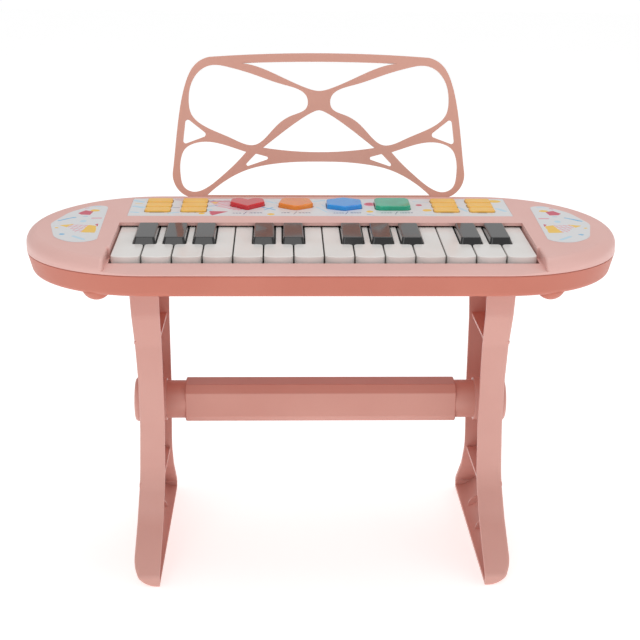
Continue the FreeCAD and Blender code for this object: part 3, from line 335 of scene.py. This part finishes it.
# ---- Pod stickers ----
# Die-cut stickers of the same white film on the two round ends of the deck, printed as a
# mirrored pair: a pentagon, brush strokes and two yellow blobs joined by a fine grid.
sticker_print = begin("sticker_print")
x, s = deck_places()
x = abs(x)
wobble = (noise(160.0, 2.0) - 0.5) * 2.6
wx, ws = x + wobble, s + wobble
grid_across = stripes(x, s, math.radians(98), 5.0, 0.16)
grid = stripes(x, s, math.radians(20), 3.6, 0.16).at_least(grid_across)
bridge = patch(x, s, [(179.0, -21.0), (189.0, -21.0), (197.0, -5.0), (194.0, 0.5), (181.0, -0.5)])
sticker_colour = printed("sticker", [
    (pale_sky, stroke(wx, ws, (179.0, 56.0), (185.0, 57.0), 1.8)),
    (rose, stroke(wx, ws, (190.0, 49.8), (188.2, 51.8), 1.4)),
    (crimson, patch(x, s, [(184.1, 29.7), (191.2, 30.4), (194.3, 35.0), (189.3, 44.0), (182.5, 40.2)])),
    (sun, disc(wx, ws, (181.6, 43.4), 3.7, 0.8)),
    (sky, stroke(wx, ws, (206.1, 12.2), (195.2, 22.0), 2.3)),
    (rose, stroke(x, s, (174.3, 19.9), (180.9, 19.8), 2.0)),
    (sky, stroke(wx, ws, (185.8, 25.6), (188.8, 25.4), 1.2)),
    (pale_sky, disc(wx, ws, (186.9, 10.8), 2.6, 1.3)),
    (rose, bridge * grid * 0.9),
    (sun, patch(wx, ws, [(193.2, 2.3), (197.7, -6.8), (203.8, -1.4)])),
    (sun, patch(wx, ws, [(173.7, -22.7), (185.3, -21.0), (181.3, -0.2), (174.6, -3.1)])),
    (crimson, patch(x, s, [(173.7, -4.9), (176.6, 1.3), (174.3, 3.5)])),
    (sun, disc(wx, ws, (205.0, -8.6), 1.3)),
    (sky, disc(wx, ws, (197.9, -27.0), 2.1)),
    (pale_sky, stroke(wx, ws, (188.9, -32.1), (180.2, -41.0), 3.2))])
film(sticker_print, sticker_colour)
dress("pod_stickers", sticker_print)


# ---- White keys ----
# Hollow moulded ABS keys on one steel rod, in one polished, faintly warm white with a
# thin clear gloss.
ivory = begin("key_ivory")
shade = noise(30.0, 2.0).step(0.35, 0.7)
ivory_colour = mixed(paint(236, 233, 230), paint(231, 227, 223), shade)
polish = 0.22 + (noise(120.0, 3.0) - 0.5) * 0.08
surface(ivory, ivory_colour, polish, noise(40.0, 2.0), 0.00004, Coat_Weight=0.2, Coat_Roughness=0.08)
for number in range(1, 15):
    dress("white_key_%02d" % number, ivory)


# ---- Black keys ----
# Gloss black caps with a bevelled rim and a sloped front, moulded in one piece with the
# arm that reaches back to the rod.
ebony = begin("key_ebony")
swirl = noise(300.0, 4.0, 0.7)
ebony_colour = mixed(paint(24, 24, 25), paint(33, 32, 33), swirl)
surface(ebony, ebony_colour, 0.12 + (noise(150.0, 3.0) - 0.5) * 0.08, noise(60.0, 2.0), 0.00003,
        Coat_Weight=0.4, Coat_Roughness=0.05)
for number in range(1, 11):
    dress("black_key_%02d" % number, ebony)


# ---- Shaped pads ----
# Four gloss caps, tinted and slightly clear, that drop through the deck onto rubber
# domes: heart, pentagon, hexagon and square.
def gloss_cap(name, light, deep):
    material = begin(name)
    cloud = noise(90.0, 2.0).step(0.3, 0.75)
    colour = mixed(light, deep, cloud)
    gloss = 0.14 + (noise(200.0, 2.0) - 0.5) * 0.06
    return surface(material, colour, gloss, noise(70.0, 2.0), 0.00003,
                   Coat_Weight=0.5, Coat_Roughness=0.06, Subsurface_Weight=0.12, Subsurface_Scale=0.003)


dress("pad_heart", gloss_cap("pad_red", paint(220, 28, 42), paint(206, 20, 34)))
dress("pad_pentagon", gloss_cap("pad_orange", paint(246, 140, 26), paint(238, 128, 18)))
dress("pad_hexagon", gloss_cap("pad_blue", paint(18, 156, 238), paint(12, 140, 228)))
dress("pad_square", gloss_cap("pad_green", paint(24, 178, 140), paint(16, 164, 126)))


# ---- Slim buttons ----
# Twelve flat yellow bars in four groups, satin on top with a small round rim.
butter = begin("button_yellow")
butter_colour = mixed(paint(251, 199, 98), paint(246, 190, 86), noise(60.0, 3.0).step(0.3, 0.7))
surface(butter, butter_colour, 0.34 + (noise(180.0, 2.0) - 0.5) * 0.08, noise(1500.0, 2.0), 0.000008,
        Subsurface_Weight=0.08, Subsurface_Scale=0.002)
for group in range(1, 5):
    for row in range(1, 4):
        dress("button_%d_%d" % (group, row), butter)


# ---- Music rest ----
# One flat moulding pierced by curved openings, its bars rounded over on both faces, that
# pushes into a slot behind the panel.
REST_ROUND = 0.0008           # radius of the bars' edges
REST_TILT = math.radians(10.5)
PLATE_FACING = Vector((0.0, -math.cos(REST_TILT), math.sin(REST_TILT)))
rest_pink = moulded("rest_pink", paint(226, 170, 153), paint(221, 164, 147), 0.46)
rest = bpy.data.objects.new("rest_rounded", nodes["music_rest"].data.copy())
bpy.context.scene.collection.objects.link(rest)
form = bmesh.new()
form.from_mesh(rest.data)
bmesh.ops.remove_doubles(form, verts=form.verts, dist=0.00002)
sharp = [edge for edge in form.edges
         if len(edge.link_faces) == 2 and edge.calc_face_angle(0.0) > math.radians(60)]
bmesh.ops.bevel(form, geom=sharp, offset=REST_ROUND, segments=3, profile=0.5, affect="EDGES",
                material=-1, clamp_overlap=True)
for face in form.faces:
    face.smooth = abs(face.normal.dot(PLATE_FACING)) < 0.999
form.to_mesh(rest.data)
form.free()
rest.data.materials.clear()
rest.data.materials.append(rest_pink)
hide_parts("music_rest")
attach(rest, "music_rest")


# ---- Legs and crossbar ----
# Two channel legs, mirror images, plug into the tray; a two-part crossbar with round
# necks ties them, screwed through the bosses on their outer faces.
leg_pink = moulded("leg_pink", paint(221, 169, 158), paint(216, 162, 151), 0.46)
# The crossbar is the legs' plastic, its colour painted a little darker as shade.
bar_pink_painted_shade = moulded("bar_pink_painted_shade", paint(213, 154, 141), paint(208, 147, 134), 0.44)
dress("leg_right", leg_pink)
dress("leg_left", leg_pink)
dress("crossbar_upper", bar_pink_painted_shade)
dress("crossbar_lower", bar_pink_painted_shade)


# ---- Screws ----
# Zinc-plated pan heads with a cross slot, deep in their wells.
zinc = begin("zinc_plate")
tarnish = noise(500.0, 4.0, 0.7).step(0.35, 0.7)
zinc_colour = mixed(paint(150, 150, 154), paint(120, 118, 120), tarnish)
surface(zinc, zinc_colour, 0.34 + tarnish * 0.15, noise(2500.0, 3.0), 0.00001, Metallic=1.0)
dress("case_screws", zinc)
dress("crossbar_screws", zinc)


# ---- Inside the case ----
# Phenolic boards with a green mask, silicone contact sheets, a paper-cone speaker, four
# sleeved cells and their nickel contacts, and the steel rod that the keys turn on.
board = begin("circuit_board")
x, y, _ = axes_of(place())
tracks = (stripes(x * 1000, y * 1000, 0.0, 2.54, 0.4)
          * stripes(x * 1000, y * 1000, math.pi / 2, 7.6, 0.7))
board_colour = mixed(paint(40, 92, 56), paint(96, 138, 74), tracks * noise(60.0).step(0.45, 0.55))
surface(board, board_colour, 0.35 + noise(200.0) * 0.1, tracks, 0.00003)
dress("key_board", board)
dress("panel_board", board)

silicone = begin("contact_silicone")
silicone_colour = mixed(paint(196, 200, 206), paint(180, 186, 194), noise(80.0))
surface(silicone, silicone_colour, 0.5 + noise(300.0) * 0.1, noise(900.0), 0.00001)
dress("contact_mats", silicone)

SPEAKER_X = -190.0
cone = begin("speaker_cone")
x, y, _ = axes_of(place())
dx, dy = x * 1000 - SPEAKER_X, y * 1000 - CASE_Y
radius = (dx * dx + dy * dy).root()
frame_rim = radius.step(22.0, 22.6)
pulp = mixed(paint(40, 40, 44), paint(54, 53, 56), noise(1200.0))
cone_colour = mixed(pulp, paint(150, 150, 154), frame_rim)
cone_gloss = 0.55 + (noise(700.0) - 0.5) * 0.2 - frame_rim * 0.2
surface(cone, cone_colour, cone_gloss, (radius * 2.1).sine(), 0.00005)
dress("speaker", cone)

CELL_MIDDLE = 25.2            # each cell's middle, to either side
cell = begin("cell_sleeve")
x, _, _ = axes_of(place())
band = (abs(abs(x) * 1000 - CELL_MIDDLE)).step(18.0, 18.2)
cell_colour = mixed(paint(52, 58, 66), paint(176, 178, 180), band)
surface(cell, cell_colour, 0.3 + (noise(400.0) - 0.5) * 0.1, noise(60.0), 0.00003, Coat_Weight=0.3)
dress("batteries", cell)

nickel = begin("nickel_plate")
brushed = noise(1600.0, 3.0, 0.6)
nickel_colour = mixed(paint(206, 203, 196), paint(186, 182, 174), brushed)
surface(nickel, nickel_colour, 0.2 + brushed * 0.12, brushed, 0.00001, Metallic=1.0)
dress("battery_contacts", nickel)
dress("key_rod", nickel)

sleeve = begin("wire_sleeve")
x, y, _ = axes_of(place())
cores = stripes(x * 1000, y * 1000, 0.0, 1.4, 0.85)
sleeve_colour = mixed(paint(120, 120, 118), paint(208, 206, 200), cores)
surface(sleeve, sleeve_colour, 0.4 + noise(500.0) * 0.1, cores, 0.0001)
dress("wiring", sleeve)


# ---- Floor, light and camera ----
# A plain white sweep with a little glow of its own, three large soft lamps, and a
# surround that is white to the camera and dimmer as a light.
floor_form = bmesh.new()
bmesh.ops.create_grid(floor_form, x_segments=2, y_segments=2, size=6.0)
floor_mesh = bpy.data.meshes.new("floor")
floor_form.to_mesh(floor_mesh)
floor_form.free()
floor = bpy.data.objects.new("floor", floor_mesh)
bpy.context.scene.collection.objects.link(floor)
floor_paint = begin("floor_paint")
surface(floor_paint, mixed((0.9, 0.9, 0.9, 1.0), (0.88, 0.88, 0.88, 1.0), noise(3.0)), 0.85,
        Emission_Color=(1.0, 1.0, 1.0, 1.0), Emission_Strength=0.5)
floor_mesh.materials.append(floor_paint)

surround = bpy.data.worlds.new("surround")
surround.use_nodes = True
Wire.tree = surround.node_tree
SURROUND_LIGHT = 0.55
SURROUND_SEEN = 1.02
backdrop = surround.node_tree.nodes["Background"]
backdrop.inputs["Color"].default_value = (1.0, 1.0, 1.0, 1.0)
seen = Wire(Wire.node("ShaderNodeLightPath").outputs["Is Camera Ray"])
glow = seen * (SURROUND_SEEN - SURROUND_LIGHT) + SURROUND_LIGHT
Wire.tree.links.new(glow.socket, backdrop.inputs["Strength"])
bpy.context.scene.world = surround

for name, spot, aim, size, watts in [
        ("lamp_front", (-0.5, -1.6, 1.5), (0.0, 0.0, 0.2), 1.4, 6.0),
        ("lamp_over", (0.2, 0.3, 1.9), (0.0, 0.0, 0.25), 1.6, 8.5),
        ("lamp_side", (1.7, -0.8, 1.0), (0.0, 0.0, 0.2), 1.2, 2.6)]:
    light = bpy.data.lights.new(name, "AREA")
    light.shape = "DISK"
    light.size = size
    light.energy = watts
    lamp = bpy.data.objects.new(name, light)
    lamp.location = spot
    lamp.rotation_mode = "QUATERNION"
    lamp.rotation_quaternion = (Vector(aim) - Vector(spot)).to_track_quat("-Z", "Y")
    bpy.context.scene.collection.objects.link(lamp)

bpy.context.scene.view_settings.view_transform = "Standard"

camera_data = bpy.data.cameras.new("studio_camera")
camera_data.lens = 78.75
camera_data.sensor_width = 36.0
camera_data.clip_start = 0.05
camera_data.clip_end = 60.0
camera = bpy.data.objects.new("studio_camera", camera_data)
CAMERA_AT = Vector((-0.03264, -1.07664, 0.50190))
CAMERA_YAW = math.radians(1.70)
CAMERA_PITCH = math.radians(16.51)
CAMERA_ROLL = math.radians(0.44)
ahead = Vector((math.sin(CAMERA_YAW) * math.cos(CAMERA_PITCH),
                math.cos(CAMERA_YAW) * math.cos(CAMERA_PITCH), -math.sin(CAMERA_PITCH)))
camera.rotation_mode = "QUATERNION"
camera.location = CAMERA_AT
level = ahead.to_track_quat("-Z", "Y")
camera.rotation_quaternion = level @ Matrix.Rotation(CAMERA_ROLL, 3, "Z").to_quaternion()
bpy.context.scene.collection.objects.link(camera)
bpy.context.scene.camera = camera
